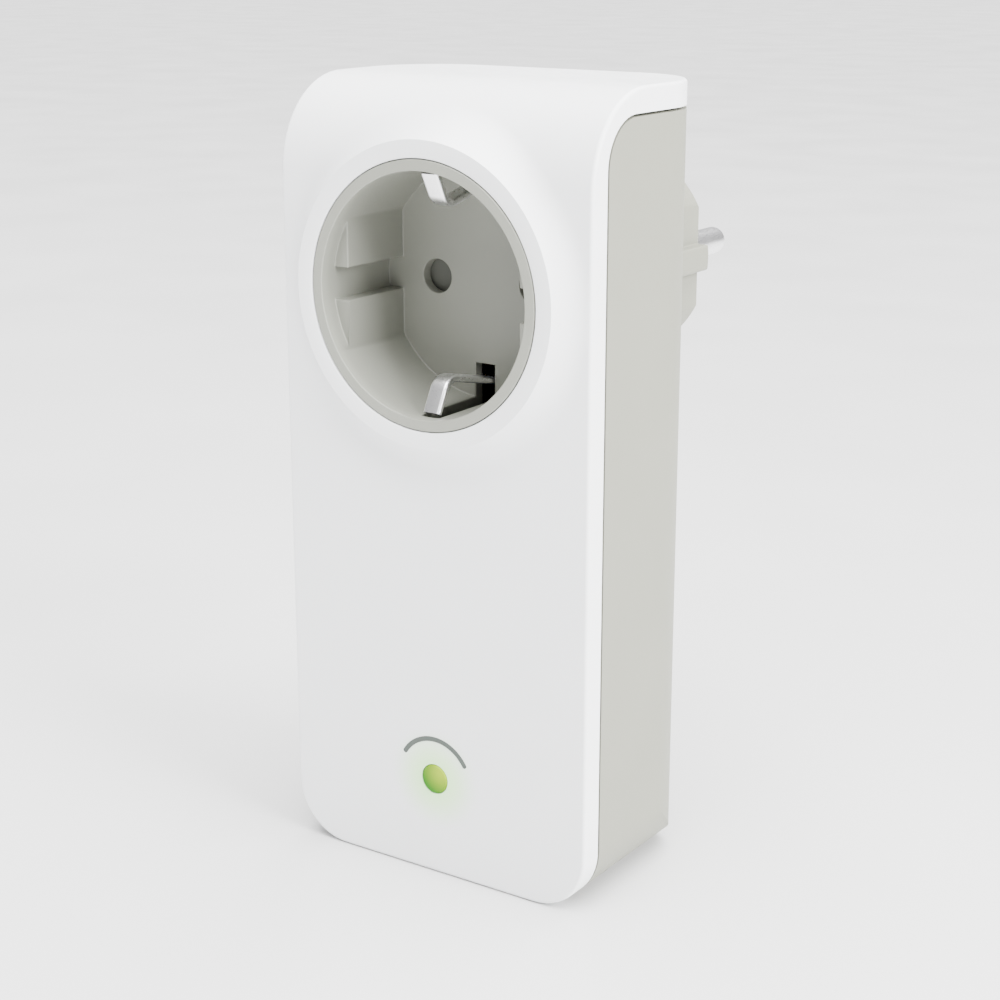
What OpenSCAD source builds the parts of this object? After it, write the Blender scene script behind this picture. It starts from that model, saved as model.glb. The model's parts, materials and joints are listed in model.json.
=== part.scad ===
// Powerline adapter with a pass-through earthed socket.
// The origin is at the middle of the flat base. +Z is up, the socket faces -Y and the plug +Y.

/* [Casing] */
// Width of the casing
body_w = 59; // [57:0.5:64]
// Height of the casing
body_h = 131; // [126:1:145]
// Depth of the casing between its flat front and back
body_d = 37.2; // [37.2:0.2:42]
// Wall thickness of both shells
wall = 2.2; // [2:0.1:2.6]
// Radius of the bend from the front face into the top
bend_r = 15; // [12:0.5:17]
// Radius of the two lower corners
foot_r = 10; // [8:0.5:12]
// Radius of the upright corners at the back
back_r = 13.5; // [12:0.5:16]
// Radius of the bend from the back into the base
heel_r = 8; // [6:0.5:9]
// Width of the cover's band on the sides and the top
band_w = 4; // [3.5:0.1:5]
// Radius of the seam where it turns from the side to the top
seam_r = 8; // [6:0.5:9]
// Width of the shadow gap along the seam
seam_gap = 0.45; // [0.2:0.05:0.5]

/* [Socket] */
// Height of the socket and plug axis above the base
axis_z = 98.6; // [97:0.1:99]
// Radius of the recess
recess_r = 19.4; // [19.35:0.05:19.6]
// Depth of the recess from its rim
recess_depth = 17.8; // [17.5:0.1:18.5]
// Outer radius of the socket insert
insert_r = 21.2; // [21.2:0.05:21.4]
// Outer radius of the raised ring on the cover
ring_r = 24.2; // [23.8:0.1:25]
// Height of the raised ring above the front face
ring_rise = 2.8; // [2.4:0.1:3]
// Radius at which the flare meets the front face
flare_r = 29.2; // [28:0.1:29.4]
// Distance between the two poles
pole_gap = 19; // [19:0.1:19.5]
// Radius of the pin holes in the socket floor
pin_hole_r = 2.8; // [2.6:0.05:3]
// Distance of each guide block's face from the axis
guide_x = 16.45; // [16.3:0.05:16.7]
// Half the height of the slot between two guide blocks
guide_slot = 2.65; // [2.5:0.05:2.8]

/* [Plug] */
// Radius of the plug body
plug_r = 18.4; // [18:0.1:18.5]
// Length of the plug body behind the casing
plug_len = 19.3; // [18:0.1:20]
// Distance of the plug's side flats from the axis
plug_flat = 16.3; // [16:0.05:16.3]
// Half the height of the guide rib on each side of the plug
plug_rib = 2.2; // [2.1:0.05:2.3]
// Radius of the plug pins
pin_r = 2.4; // [2.35:0.05:2.45]
// Length of the pins beyond the plug face
pin_len = 19; // [18.5:0.1:19.5]

/* [Controls] */
// Height of the status button above the base
button_z = 17; // [15:0.5:20]
// Radius of the status button
button_r = 2.5; // [2.2:0.1:3]
// Travel of the status button
button_travel = 0.4; // [0.2:0.05:0.5]

/* [Hidden] */
$fn = 96;
eps = 0.01;

front_y = -body_d / 2;
back_y = body_d / 2;
inner_front_y = front_y + wall;
inner_back_y = back_y - wall;
seam_y = front_y + band_w;
seam_z = body_h - band_w;
rim_y = front_y - ring_rise;
floor_y = rim_y + recess_depth;
floor_t = 2;
insert_back_y = floor_y + floor_t;
plug_end_y = back_y + plug_len;
pole_x = pole_gap / 2;
lip_t = 1.1;
lip_rise = 1.6;
lip_clear = 0.1;

// Housing screws: [x, z], and the y where the two bosses meet
screw_places = [[-21, 10], [21, 10], [-22, axis_z + 16.9], [22, axis_z + 16.9]];
boss_joint_y = -2;
screw_seat_y = back_y - 6.4;

// Shutter chamber behind the socket floor
shutter_y0 = insert_back_y + 0.3;
shutter_t = 1.6;
block_y0 = insert_back_y + 2.4;
block_y1 = block_y0 + 11.6;
base_plate_y = back_y - 2;
pin_shank_r = pin_r - 0.2;

// Label on the back
label_t = 0.15;

// Circuit boards
board_t = 1.6;
main_board_w = 51;
power_board_w = 46;
board_waist = 16.2;
board_top_z = 72;
board_bottom_z = 4;
main_y0 = -9.6;
main_y1 = main_y0 + board_t;
power_y0 = 11.2;
power_y1 = power_y0 + board_t;
main_posts = [[-22, 66], [22, 22]];
power_posts = [[-20, 22], [20, 70]];

// Network jack on the base
jack_x = -9;
jack_w = 16;
jack_d = 13.4;
jack_z0 = 0.6;
jack_h = 21;

// Reset button on the base
reset_x = 13;
reset_y = main_y1 + 3;

// Earth clip: rounded nose of the spring and the curl it turns about, as [y, r] from the socket axis
clip_w = 3;
clip_t = 0.9;
clip_nose_r = 1.5;
clip_nose = [front_y + 3.9, 15.5];
clip_pivot = [insert_back_y + 3.2, 17.4];
clip_tip = [front_y + 0.3, 19.0];
slot_inner_z = 13.6;
strap_t = 0.8;
strap_y = 13.2;
strap_r = 17.3;

// ---- Helpers ----

// Extrudes an outline drawn in X and Z from y0 to y1
module along_y(y0, y1) {
    translate([0, y1, 0]) rotate([90, 0, 0]) linear_extrude(y1 - y0) children();
}

// Extrudes an outline drawn in Y and Z from x0 to x1
module along_x(x0, x1) {
    translate([x0, 0, 0]) rotate([90, 0, 90]) linear_extrude(x1 - x0) children();
}

// Round bar along Y
module bar_y(r, y0, y1, x = 0, z = 0) {
    translate([x, y1, z]) rotate([90, 0, 0]) cylinder(r = r, h = y1 - y0);
}

// Box from its lower to its upper corner
module block(low, high) {
    translate(low) cube(high - low);
}

// Box on a board: centre [x, z], size [x, z], standing from y0 to y1
module on_board(centre, size, y0, y1) {
    block([centre[0] - size[0] / 2, y0, centre[1] - size[1] / 2],
          [centre[0] + size[0] / 2, y1, centre[1] + size[1] / 2]);
}

function unit(v) = v / norm(v);
function left_of(v) = [-v[1], v[0]];
function side_at(p, i) =
    i == 0 ? left_of(unit(p[1] - p[0])) :
    i == len(p) - 1 ? left_of(unit(p[i] - p[i - 1])) :
    let (a = left_of(unit(p[i] - p[i - 1])), b = left_of(unit(p[i + 1] - p[i])), m = unit(a + b))
        m / (m * a);
// Outline of a strip of thickness t along a line of points
function strip(p, t) = concat(
    [for (i = [0 : len(p) - 1]) p[i] + side_at(p, i) * t / 2],
    [for (i = [len(p) - 1 : -1 : 0]) p[i] - side_at(p, i) * t / 2]);
// Points on an arc about c from angle a0 to a1
function arc(c, r, a0, a1, n) = [for (i = [0 : n]) let (a = a0 + (a1 - a0) * i / n) c + r * [cos(a), sin(a)]];

// Outer form of the whole casing, moved inwards by inset
module front_outline(inset) {
    translate([-body_w / 2 + inset, foot_r]) square([body_w - 2 * inset, body_h - foot_r - inset]);
    translate([-body_w / 2 + foot_r, inset]) square([body_w - 2 * foot_r, foot_r]);
    for (s = [-1, 1]) translate([s * (body_w / 2 - foot_r), foot_r]) circle(foot_r - inset);
}

module side_outline(inset) {
    translate([front_y + inset, inset]) square([body_d - heel_r - inset, body_h - bend_r - inset]);
    translate([front_y + bend_r, heel_r]) square([body_d - bend_r - inset, body_h - heel_r - inset]);
    translate([front_y + bend_r, body_h - bend_r]) circle(bend_r - inset);
    translate([back_y - heel_r, heel_r]) circle(heel_r - inset);
}

module plan_outline(inset) {
    translate([-body_w / 2 + inset, front_y + inset]) square([body_w - 2 * inset, body_d - back_r - inset]);
    translate([-body_w / 2 + back_r, front_y + inset]) square([body_w - 2 * back_r, body_d - 2 * inset]);
    for (s = [-1, 1]) translate([s * (body_w / 2 - back_r), back_y - back_r]) circle(back_r - inset);
}

module envelope(inset = 0) {
    intersection() {
        along_y(front_y - 1, back_y + 1) front_outline(inset);
        along_x(-body_w, body_w) side_outline(inset);
        translate([0, 0, -1]) linear_extrude(body_h + 2) plan_outline(inset);
    }
}

// Space of the rear housing, moved inwards by inset from the seam
module housing_zone(inset = 0) {
    corner = [seam_y + seam_r, seam_z - seam_r];
    along_x(-body_w, body_w) union() {
        translate([seam_y + inset, -5]) square([body_d, corner[1] + 5]);
        translate([corner[0], 0]) square([body_d, seam_z - inset]);
        translate(corner) circle(seam_r - inset);
    }
}

// ---- Casing ----

// Skirt of the raised ring, hollowed by one arc that ends a hair above the front face
module ring_skirt() {
    reach = flare_r - ring_r;
    edge = 0.04;
    r = (ring_rise * ring_rise + reach * reach) / (2 * ring_rise);
    translate([0, front_y, axis_z]) rotate([90, 0, 0]) rotate_extrude() difference() {
        translate([insert_r, -wall / 2]) square([reach + ring_r - insert_r, ring_rise + wall / 2]);
        translate([flare_r, r + edge]) circle(r, $fn = 256);
    }
}

// Raised ring; its skirt runs out where the front face starts to bend
module socket_ring() {
    intersection() {
        ring_skirt();
        block([-body_w, rim_y - 1, 0], [body_w, 0, body_h - bend_r - 0.5]);
    }
    difference() {
        bar_y(ring_r, rim_y, seam_y, 0, axis_z);
        envelope(wall);
    }
}

module front_cover() color("white") difference() {
    union() {
        difference() {
            envelope();
            housing_zone();
            envelope(wall);
        }
        socket_ring();
        for (p = screw_places) bar_y(3, inner_front_y - 0.5, boss_joint_y, p[0], p[1]);
        for (p = main_posts) bar_y(2.5, inner_front_y - 0.5, main_y0, p[0], p[1]);
    }
    bar_y(insert_r + 0.15, rim_y - 1, inner_front_y + 1, 0, axis_z);
    bar_y(button_r + 0.12, front_y - 1, inner_front_y + 1, 0, button_z);
    for (p = screw_places) bar_y(1.25, boss_joint_y - 10, boss_joint_y + 1, p[0], p[1]);
    for (p = main_posts) bar_y(0.85, main_y0 - 5, main_y0 + 1, p[0], p[1]);
}

// Everything inside the lip, open to the front and the top
module lip_core() {
    along_y(front_y - 1, 0) front_outline(wall + lip_t);
    translate([0, 0, seam_z - seam_r]) linear_extrude(body_h) plan_outline(wall + lip_t);
    envelope(wall + lip_t);
}

// Lip along the rear housing's edge: it stands into the cover and grows out of the housing's wall
module housing_lip() {
    difference() {
        intersection() {
            envelope(wall + lip_clear);
            difference() {
                housing_zone(-lip_rise);
                housing_zone(seam_gap);
            }
        }
        lip_core();
    }
    difference() {
        intersection() {
            envelope(wall - eps);
            difference() {
                housing_zone(seam_gap);
                housing_zone(seam_gap + 2);
            }
        }
        lip_core();
    }
}

module housing_shell() {
    corner_z = seam_z - seam_r;
    difference() {
        intersection() {
            envelope();
            housing_zone(seam_gap);
        }
        intersection() {
            envelope(wall);
            union() {
                housing_zone(seam_gap + wall);
                block([-body_w, front_y - 1, -1], [body_w, 0, corner_z]);
            }
        }
    }
}

module rear_housing() color([0.8, 0.8, 0.77]) difference() {
    union() {
        housing_shell();
        housing_lip();
        intersection() {
            envelope();
            union() {
                for (p = screw_places) {
                    bar_y(3.4, boss_joint_y, back_y, p[0], p[1]);
                    bar_y(4.6, screw_seat_y - 1.6, back_y, p[0], p[1]);
                }
                for (p = power_posts) bar_y(2.5, power_y1, back_y, p[0], p[1]);
            }
        }
    }
    bar_y(plug_r + 0.1, inner_back_y - 1, back_y + 1, 0, axis_z);
    for (p = screw_places) {
        bar_y(1.6, boss_joint_y - 1, back_y, p[0], p[1]);
        bar_y(3.1, screw_seat_y, back_y + 1, p[0], p[1]);
    }
    for (p = power_posts) bar_y(0.85, power_y1 - 1, power_y1 + 2.4, p[0], p[1]);
    block([jack_x - jack_w / 2 - 0.15, main_y1 - 0.15, -1],
          [jack_x + jack_w / 2 + 0.15, main_y1 + jack_d + 0.15, wall + 1]);
    translate([reset_x, reset_y, -1]) cylinder(r = 1.9, h = wall + 2);
}

module housing_screws() color("silver") for (p = screw_places) difference() {
    union() {
        bar_y(1.25, boss_joint_y - 8, screw_seat_y + 0.5, p[0], p[1]);
        bar_y(2.7, screw_seat_y, screw_seat_y + 2.2, p[0], p[1]);
    }
    bar_y(1.2, screw_seat_y + 0.9, screw_seat_y + 3, p[0], p[1], $fn = 6);
}

module rating_label() color("gainsboro") on_board([0, 46], [27, 36], back_y, back_y + label_t);

// ---- Socket ----

// Four blocks on the recess wall that steer the plug's side ribs
module guide_blocks() {
    block_top = sqrt(recess_r * recess_r - guide_x * guide_x);
    intersection() {
        bar_y(recess_r + 0.5, rim_y + 3.2, floor_y + 0.5);
        for (s = [-1, 1], t = [-1, 1])
            block([s > 0 ? guide_x : -recess_r - 1, rim_y, t > 0 ? guide_slot : -block_top],
                  [s > 0 ? recess_r + 1 : -guide_x, floor_y + 1, t > 0 ? block_top : -guide_slot]);
    }
}

module socket_insert() color([0.76, 0.76, 0.72]) translate([0, 0, axis_z]) difference() {
    slot_x = clip_w / 2 + 0.35;
    union() {
        difference() {
            union() {
                bar_y(insert_r, rim_y, insert_back_y);
                intersection() {
                    bar_y(insert_r + 2.4, inner_front_y, inner_front_y + 1.5);
                    block([-body_w, -body_d, -body_w], [body_w, body_d, body_h - bend_r - axis_z - 1]);
                }
            }
            bar_y(recess_r, rim_y - 1, floor_y);
        }
        guide_blocks();
        bar_y(1.9, insert_back_y - 0.5, block_y0);
    }
    for (s = [-1, 1]) bar_y(pin_hole_r, floor_y - 1, insert_back_y + 1, s * pole_x);
    for (s = [-1, 1]) scale([1, 1, s]) {
        block([-slot_x, rim_y + 2.4, recess_r - 1], [slot_x, insert_back_y + 1, insert_r + 0.5]);
        block([-slot_x, floor_y - 1, slot_inner_z], [slot_x, insert_back_y + 1, recess_r]);
    }
}

module contact_block() color([0.32, 0.32, 0.34]) translate([0, 0, axis_z]) difference() {
    union() {
        intersection() {
            bar_y(17.4, block_y0, block_y1);
            block([-20, block_y0 - 1, -12.2], [20, block_y1 + 1, 12.2]);
        }
        difference() {
            intersection() {
                bar_y(17.4, insert_back_y, block_y0 + 0.5);
                block([-20, insert_back_y, -7.5], [20, block_y1, 7.5]);
            }
            bar_y(14.6, insert_back_y - 1, block_y0);
        }
    }
    bar_y(4.6, block_y0 - 1, block_y0 + 1);
    bar_y(1.95, block_y0 - 1, block_y0 + 3);
    for (s = [-1, 1]) {
        bar_y(3.1, block_y0 - 1, block_y0 + 3, s * pole_x);
        block([s * pole_x - 4.8, block_y0 + 1, -4.6], [s * pole_x + 4.8, block_y1 + 1, 4.6]);
    }
}

module shutter() color([0.82, 0.82, 0.78]) translate([0, 0, axis_z])
    along_y(shutter_y0, shutter_y0 + shutter_t) difference() {
        union() {
            circle(4.2);
            intersection() {
                circle(13.4);
                for (s = [-1, 1]) polygon([[0, 0], [s * 16, -16 * tan(19)], [s * 16, 16 * tan(19)]]);
            }
        }
        circle(1.95);
    }

// Two turns of spring wire around the shutter's hub
wire_r = 0.2;
module shutter_spring() color("silver") translate([0, block_y0 + 0.02, axis_z]) rotate([-90, 0, 0])
    for (i = [0, 1]) translate([0, 0, wire_r + 2 * wire_r * i])
        rotate_extrude() translate([3.2 + wire_r * i, 0]) circle(wire_r, $fn = 16);

// Spring contact for one pole: a base plate and two leaves that pinch the pin
module pole_contact(s) color("goldenrod") translate([s * pole_x, 0, axis_z]) {
    leaf = [[3.7, base_plate_y + 0.3], [3.7, 8.4], [2.4, 4.6], [3.4, 2.0]];
    difference() {
        union() {
            translate([0, 0, -3.5]) linear_extrude(7) union() {
                polygon(strip(leaf, 0.6));
                mirror([1, 0]) polygon(strip(leaf, 0.6));
                translate([-4, base_plate_y]) square([8, 0.6]);
            }
            block([-2, base_plate_y, -8.4], [2, base_plate_y + 0.6, 0]);
        }
        bar_y(1.6, base_plate_y - 1, base_plate_y + 2);
    }
}
module line_contact() pole_contact(1);
module neutral_contact() pole_contact(-1);

busbar_t = 0.6;
busbar_foot_z = 66;
// Flat conductor from a contact forwards and down to the back of the power board
module pole_busbar(s) color("goldenrod") along_x(s * pole_x - 2, s * pole_x + 2) {
    top = axis_z - 8.4;
    front = power_y1;
    rear = base_plate_y + busbar_t;
    polygon([[front, busbar_foot_z], [front + busbar_t, busbar_foot_z], [front + busbar_t, top - busbar_t],
             [rear, top - busbar_t], [rear, top], [front, top]]);
}
module line_busbar() pole_busbar(1);
module neutral_busbar() pole_busbar(-1);

// Spring strip that touches the earth contact of an inserted plug, drawn for the upper side
module earth_clip_form() {
    line = concat([clip_tip], arc(clip_nose, clip_nose_r, 200, 282, 8), [clip_pivot]);
    along_x(-clip_w / 2, clip_w / 2) polygon(strip(line, clip_t));
    along_x(-clip_w / 2, clip_w / 2) translate(clip_pivot) circle(clip_t);
}
module earth_clip_top() color("silver") translate([0, 0, axis_z]) earth_clip_form();
module earth_clip_bottom() color("silver") translate([0, 0, axis_z]) mirror([0, 0, 1]) earth_clip_form();

// One stamped piece joins both earth clips to the strips on the plug
module earth_strap() color("silver") translate([0, 0, axis_z]) {
    block([-3, strap_y, -strap_r - strap_t / 2], [3, strap_y + strap_t, strap_r + strap_t / 2]);
    for (s = [-1, 1]) scale([1, 1, s]) {
        block([-1.5, clip_pivot[0] + 1.2, strap_r - strap_t / 2],
              [1.5, strap_y + eps, strap_r + strap_t / 2]);
        block([-2, strap_y + strap_t - eps, strap_r - strap_t / 2],
              [2, plug_end_y - 1.5, strap_r + strap_t / 2]);
    }
}

// ---- Plug ----

// Hollow round plug with two flats and a guide rib on each side
module plug_shell() difference() {
    union() {
        bar_y(plug_r, inner_back_y - 1.5, plug_end_y);
        intersection() {
            bar_y(plug_r + 2.4, inner_back_y - 1.5, inner_back_y);
            block([-14.5, 0, -body_w], [14.5, body_d, body_w]);
        }
    }
    bar_y(14.9, inner_back_y - 2, plug_end_y - 2.6);
    for (s = [-1, 1], t = [-1, 1]) scale([s, 1, t])
        block([plug_flat, back_y, plug_rib], [plug_r + 1, plug_end_y + 1, plug_r]);
}

module plug_body() color([0.8, 0.8, 0.77]) translate([0, 0, axis_z]) difference() {
    union() {
        plug_shell();
        for (s = [-1, 1]) bar_y(4.4, base_plate_y + 0.8, plug_end_y - 1, s * pole_x);
    }
    for (s = [-1, 1]) {
        bar_y(pin_shank_r, base_plate_y, plug_end_y + 1, s * pole_x);
        scale([1, 1, s])
            block([-2.1, inner_back_y - 2, strap_r - strap_t / 2 - 0.1], [2.1, plug_end_y - 1.4, plug_r + 3]);
    }
}

// Plug pin with a rounded tip and a riveted tail through the contact's base plate
module pole_pin(s) color("silver") translate([s * pole_x, 0, axis_z]) {
    tip_r = 1.4;
    end_y = plug_end_y + pin_len;
    bar_y(1.6, base_plate_y - 0.3, base_plate_y + 2);
    bar_y(pin_shank_r, base_plate_y + 0.6, plug_end_y + eps);
    bar_y(pin_r, plug_end_y, end_y - tip_r);
    translate([0, end_y - tip_r, 0]) rotate([-90, 0, 0]) rotate_extrude() intersection() {
        union() {
            square([pin_r - tip_r, tip_r]);
            translate([pin_r - tip_r, 0]) circle(tip_r);
        }
        square([pin_r, tip_r]);
    }
}
module line_pin() pole_pin(1);
module neutral_pin() pole_pin(-1);

// ---- Circuit boards ----

// Board w wide with its lower corners cut away around the screw bosses
module board(w, y0, y1, posts) difference() {
    on_board([0, (board_top_z + board_bottom_z) / 2], [w, board_top_z - board_bottom_z], y0, y1);
    for (s = [-1, 1])
        on_board([s * w / 2, 8], [w - 2 * board_waist, 18], y0 - 1, y1 + 1);
    for (p = posts) bar_y(1.1, y0 - 1, y1 + 1, p[0], p[1]);
}
module main_board() color("seagreen") board(main_board_w, main_y0, main_y1, main_posts);
module power_board() color("seagreen") board(power_board_w, power_y0, power_y1, power_posts);

module board_screws() color("silver") {
    for (p = main_posts) {
        bar_y(0.85, main_y0 - 4, main_y1 + 0.5, p[0], p[1]);
        bar_y(1.9, main_y1, main_y1 + 1.3, p[0], p[1]);
    }
    for (p = power_posts) {
        bar_y(0.85, power_y0 - 0.5, power_y1 + 2, p[0], p[1]);
        bar_y(1.9, power_y0 - 1.3, power_y0, p[0], p[1]);
    }
}

module mains_fuse() color("gainsboro") translate([-20, power_y0 - 2.8, 66]) rotate([0, 90, 0]) union() {
    cylinder(r = 2.3, h = 11);
    for (z = [0, 8.8]) translate([0, 0, z]) cylinder(r = 2.6, h = 2.2);
}
module surge_varistor() color("royalblue") bar_y(4.6, power_y0 - 4.4, power_y0, -2, 65.5);
module suppression_capacitor() color("gold") on_board([13, 61], [17, 13], power_y0 - 9.5, power_y0);
choke_at = [-14, power_y0 - 4, 53];
module filter_choke_core() color("darkolivegreen") translate(choke_at) rotate([-90, 0, 0])
    rotate_extrude() translate([5.4, -2]) square([3, 4]);
module filter_choke_windings() color("peru") translate(choke_at) rotate([-90, 0, 0])
    for (a = [35, 215]) rotate([0, 0, a]) rotate_extrude(angle = 110) difference() {
        translate([4.4, -3.2]) square([5, 6.4]);
        translate([5.4, -2]) square([3, 4]);
    }
module bridge_rectifier() color("dimgray") on_board([0, 50], [8, 7], power_y0 - 3, power_y0);
module bulk_capacitors() color("midnightblue")
    for (z = [28.5, 40]) bar_y(5, power_y0 - 14, power_y0, 14.8, z);
module output_capacitor() color("midnightblue") bar_y(4, power_y0 - 10.8, power_y0, -17, 38);
module optocoupler() color("dimgray") on_board([-17, 28.5], [5, 7], power_y0 - 3, power_y0);
module transformer_bobbin() color("khaki") difference() {
    on_board([0, 36], [15, 11], power_y0 - 13.6, power_y0);
    on_board([0, 36], [5, 12], power_y0 - 9.6, power_y0 - 4.6);
}
module transformer_core() color("dimgray") difference() {
    on_board([0, 36], [19, 17], power_y0 - 9.6, power_y0 - 4.6);
    for (s = [-1, 1]) on_board([s * 5, 36], [5, 11], power_y0 - 10, power_y0 - 4);
}
module board_link() color("dimgray") on_board([21.4, 44], [2.5, 14], main_y1, power_y0);

module modem_chip() color("dimgray") on_board([0, 54], [14, 14], main_y1, main_y1 + 1.2);
module chip_heatsink() color("silver") {
    on_board([0, 54], [18, 18], main_y1 + 1.2, main_y1 + 2.6);
    for (i = [0 : 5]) on_board([-8.4 + 3.36 * i, 54], [1.2, 18], main_y1 + 2.5, main_y1 + 6.6);
}
module memory_chip() color("dimgray") on_board([16, 56], [10, 7], main_y1, main_y1 + 1);
module crystal() color("silver") on_board([14.4, 41], [10.5, 4], main_y1, main_y1 + 3.4);
module coupling_transformer() color("goldenrod") on_board([-16.5, 48], [11, 9], main_y1, main_y1 + 6.4);
module ethernet_magnetics() color("dimgray") on_board([-8, 29], [15, 9], main_y1, main_y1 + 4.6);

module ethernet_jack() color("dimgray") difference() {
    block([jack_x - jack_w / 2, main_y1, jack_z0],
          [jack_x + jack_w / 2, main_y1 + jack_d, jack_z0 + jack_h]);
    block([jack_x - 5.95, main_y1 + 3.2, jack_z0 - 1], [jack_x + 5.95, main_y1 + 11, jack_z0 + 14]);
    block([jack_x - 3.2, main_y1 + 2, jack_z0 - 1], [jack_x + 3.2, main_y1 + 4, jack_z0 + 14]);
    block([jack_x - 1.7, main_y1 + 1, jack_z0 - 1], [jack_x + 1.7, main_y1 + 3, jack_z0 + 8]);
}
module jack_contacts() color("gold") for (i = [0 : 7])
    along_x(jack_x - 3.745 + 1.02 * i, jack_x - 3.395 + 1.02 * i)
        polygon(strip([[main_y1 + 8.6, jack_z0 + 12.5], [main_y1 + 10.7, jack_z0 + 3.2]], 0.35));

// ---- Controls ----

switch_front_y = main_y0 - 3.2;
plunger_front_y = switch_front_y - 1;
plunger_end_y = switch_front_y + 1;

module status_button() color("lime") {
    bar_y(button_r, front_y - 0.15, inner_front_y + 1, 0, button_z);
    bar_y(button_r + 0.9, inner_front_y + 0.1, inner_front_y + 0.9, 0, button_z);
    bar_y(1.2, inner_front_y, plunger_front_y, 0, button_z);
}
module button_switch() color("dimgray") difference() {
    on_board([0, button_z], [6, 6], switch_front_y, main_y0);
    bar_y(1.75, switch_front_y - 1, plunger_end_y + button_travel + 0.4, 0, button_z);
}
module button_plunger() color("gainsboro") bar_y(1.6, plunger_front_y, plunger_end_y, 0, button_z);
module status_leds() color("palegreen") for (s = [-1, 1])
    on_board([s * 4.6, button_z], [1.6, 3], main_y0 - 1.4, main_y0);
// Tube that keeps the light behind the button
module light_shroud() color("whitesmoke") difference() {
    bar_y(7, inner_front_y + 0.1, main_y0, 0, button_z);
    bar_y(6.2, inner_front_y - 1, main_y0 + 1, 0, button_z);
}

reset_plunger_z = 5;
module reset_button() color("gainsboro") translate([reset_x, reset_y, 0]) {
    translate([0, 0, 0.8]) cylinder(r = 1.6, h = reset_plunger_z - 0.8);
    translate([0, 0, wall + 0.3]) cylinder(r = 2.6, h = 0.8);
}
module reset_switch() color("dimgray") difference() {
    block([reset_x - 3, main_y1, 6], [reset_x + 3, main_y1 + 6, 9.6]);
    translate([reset_x, reset_y, 5]) cylinder(r = 1.5, h = 3.2);
}
module reset_plunger() color("black") translate([reset_x, reset_y, reset_plunger_z]) cylinder(r = 1.35, h = 2.2);

// Printed mark: an open arc above the status button
module status_mark() color("gray") translate([0, 0, button_z]) along_y(front_y - 0.05, front_y) {
    mark_r = 7.1;
    mark_a = 32;
    half_stroke = 0.42;
    intersection() {
        difference() {
            circle(mark_r + half_stroke);
            circle(mark_r - half_stroke);
        }
        polygon([[0, 0], [-12, 12 * tan(mark_a)], [-12, 12], [12, 12], [12, 12 * tan(mark_a)]]);
    }
    for (a = [mark_a, 180 - mark_a]) translate(mark_r * [cos(a), sin(a)]) circle(half_stroke, $fn = 32);
}

front_cover();
rear_housing();
socket_insert();
contact_block();
shutter();
shutter_spring();
plug_body();
line_pin();
neutral_pin();
line_contact();
neutral_contact();
line_busbar();
neutral_busbar();
earth_strap();
earth_clip_top();
earth_clip_bottom();
power_board();
main_board();
mains_fuse();
surge_varistor();
suppression_capacitor();
filter_choke_core();
filter_choke_windings();
bridge_rectifier();
bulk_capacitors();
output_capacitor();
optocoupler();
transformer_core();
transformer_bobbin();
board_link();
modem_chip();
chip_heatsink();
memory_chip();
crystal();
coupling_transformer();
ethernet_magnetics();
ethernet_jack();
jack_contacts();
status_button();
button_switch();
button_plunger();
status_leds();
light_shroud();
reset_button();
reset_switch();
reset_plunger();
housing_screws();
board_screws();
rating_label();
status_mark();
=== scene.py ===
"""Looks of the powerline adapter: shells, socket, plug, controls and studio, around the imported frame."""
import json
import logging
import math
from dataclasses import dataclass
from enum import Enum
from typing import Sequence

import bmesh
import bpy
import numpy as np
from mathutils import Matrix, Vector


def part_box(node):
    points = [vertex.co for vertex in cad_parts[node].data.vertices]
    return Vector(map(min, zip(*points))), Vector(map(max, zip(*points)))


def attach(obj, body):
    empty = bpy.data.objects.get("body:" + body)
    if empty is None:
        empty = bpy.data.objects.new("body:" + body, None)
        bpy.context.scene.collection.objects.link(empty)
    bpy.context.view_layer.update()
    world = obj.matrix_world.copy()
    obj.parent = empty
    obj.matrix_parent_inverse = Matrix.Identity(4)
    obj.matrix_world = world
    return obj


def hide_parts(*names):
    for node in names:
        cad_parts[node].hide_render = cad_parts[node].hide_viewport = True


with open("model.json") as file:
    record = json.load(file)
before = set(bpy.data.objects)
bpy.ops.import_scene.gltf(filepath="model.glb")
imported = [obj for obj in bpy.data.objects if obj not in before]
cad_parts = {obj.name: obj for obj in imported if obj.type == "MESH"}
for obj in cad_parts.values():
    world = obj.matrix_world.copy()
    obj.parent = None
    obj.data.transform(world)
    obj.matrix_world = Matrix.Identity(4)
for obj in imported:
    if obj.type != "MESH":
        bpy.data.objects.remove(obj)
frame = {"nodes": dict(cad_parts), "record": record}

Colour = tuple[float, float, float]
Point = tuple[float, float, float]
Socket = bpy.types.NodeSocket

MM = 0.001
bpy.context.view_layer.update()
RECORD = frame["record"]
MOUNTS = {mount["name"]: mount for mount in RECORD["mounts"]}
LOG = logging.getLogger("adapter")


def box_mm(node: str) -> tuple[np.ndarray, np.ndarray]:
    """Gives a CAD node's corners.

    Args:
        node: Name of the CAD node.

    Returns:
        The lowest and the highest corner, in millimetres.
    """
    low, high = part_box(node)
    return np.array(low) / MM, np.array(high) / MM


COVER_HIGH = box_mm("front_cover")[1]
AXIS_Z = MOUNTS["socket_outlet"]["pos_m"][2] / MM
RIM_Y = MOUNTS["socket_outlet"]["pos_m"][1] / MM
PLUG_END_Y = MOUNTS["wall_plug"]["pos_m"][1] / MM
POLE_X = MOUNTS["plug_pin_line"]["pos_m"][0] / MM
BUTTON_LOW, BUTTON_HIGH = box_mm("status_button")
BUTTON_Z = float(BUTTON_LOW[2] + BUTTON_HIGH[2]) / 2


class Lobe(Enum):
    """Ways in which a finish breaks up its surface."""

    SPARKED = "sparked"
    PEEL = "peel"
    BRUSHED = "brushed"


# ---- Materials ----


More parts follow.
